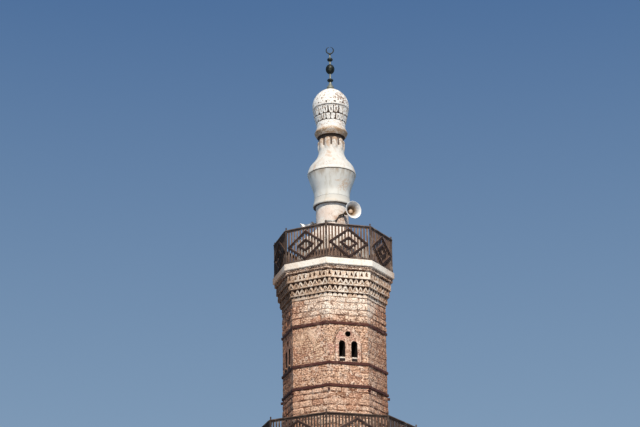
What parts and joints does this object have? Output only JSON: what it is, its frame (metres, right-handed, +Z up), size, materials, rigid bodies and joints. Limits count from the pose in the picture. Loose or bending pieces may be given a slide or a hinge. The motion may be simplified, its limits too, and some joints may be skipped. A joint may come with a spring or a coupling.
{
  "type": "minaret",
  "caption": "Octagonal coral-stone minaret with timber bands, slit windows, corbelled balconies with slatted timber balustrades, and a plastered lantern with a small dome and crescent.",
  "frame": {"origin": "on the tower's axis, on the underside of the ground floor, level with the ground", "axes": "+Z up along the tower; the doorway faces -Y; the flats of the octagons face X and Y"},
  "size_m": [4.6064, 4.6064, 25.8076],
  "materials": {
    "coral_stone": "rough coursed coral limestone, weathered, with traces of limewash",
    "timber_band": "dark red-brown weathered hardwood",
    "slat_timber": "grey-brown weathered softwood slats",
    "limewash": "cream limewash over stone, stained",
    "lantern_plaster": "white lime plaster, brown rain stains",
    "dark_bronze": "dark bronze-green patina",
    "horn_paint": "white enamel on pressed metal"
  },
  "bodies": {
    "root": {"ground_floor": "limewash", "foot_wall_back": "coral_stone", "foot_wall_left": "coral_stone", "foot_wall_right": "coral_stone", "doorway_jamb_left": "coral_stone", "doorway_jamb_right": "coral_stone", "doorway_arch_wall": "coral_stone", "octagon_shoulder": "coral_stone", "lower_shaft_foot": "coral_stone", "lower_shaft_middle": "coral_stone", "lower_shaft_head": "coral_stone", "lower_band_low": "timber_band", "lower_band_middle": "timber_band", "lower_band_high": "timber_band", "lower_window_wall_front": "coral_stone", "lower_window_wall_right": "coral_stone", "lower_window_wall_back": "coral_stone", "lower_window_wall_left": "coral_stone", "lower_corbel_tiers": "limewash", "lower_balcony_floor": "limewash", "lower_balustrade_1": "slat_timber", "lower_balustrade_2": "slat_timber", "lower_balustrade_3": "slat_timber", "lower_balustrade_4": "slat_timber", "lower_balustrade_5": "slat_timber", "lower_balustrade_6": "slat_timber", "lower_balustrade_7": "slat_timber", "lower_balustrade_8": "slat_timber", "upper_shaft_foot": "coral_stone", "upper_shaft_middle": "coral_stone", "upper_shaft_head": "coral_stone", "upper_band_low": "timber_band", "upper_band_middle": "timber_band", "upper_band_high": "timber_band", "upper_window_wall_front": "coral_stone", "upper_window_wall_right": "coral_stone", "upper_window_wall_back": "coral_stone", "upper_window_wall_left": "coral_stone", "upper_corbel_tiers": "limewash", "upper_balcony_floor": "limewash", "upper_balustrade_1": "slat_timber", "upper_balustrade_2": "slat_timber", "upper_balustrade_3": "slat_timber", "upper_balustrade_4": "slat_timber", "upper_balustrade_5": "slat_timber", "upper_balustrade_6": "slat_timber", "upper_balustrade_7": "slat_timber", "upper_balustrade_8": "slat_timber", "lantern_plinth": "lantern_plaster", "lantern_drum": "lantern_plaster", "lantern_cup": "lantern_plaster", "lantern_neck": "lantern_plaster", "lantern_head": "lantern_plaster", "lantern_dome": "lantern_plaster", "crescent_finial": "dark_bronze", "horn_front": "horn_paint", "horn_side": "horn_paint"}
  },
  "joints": []
}
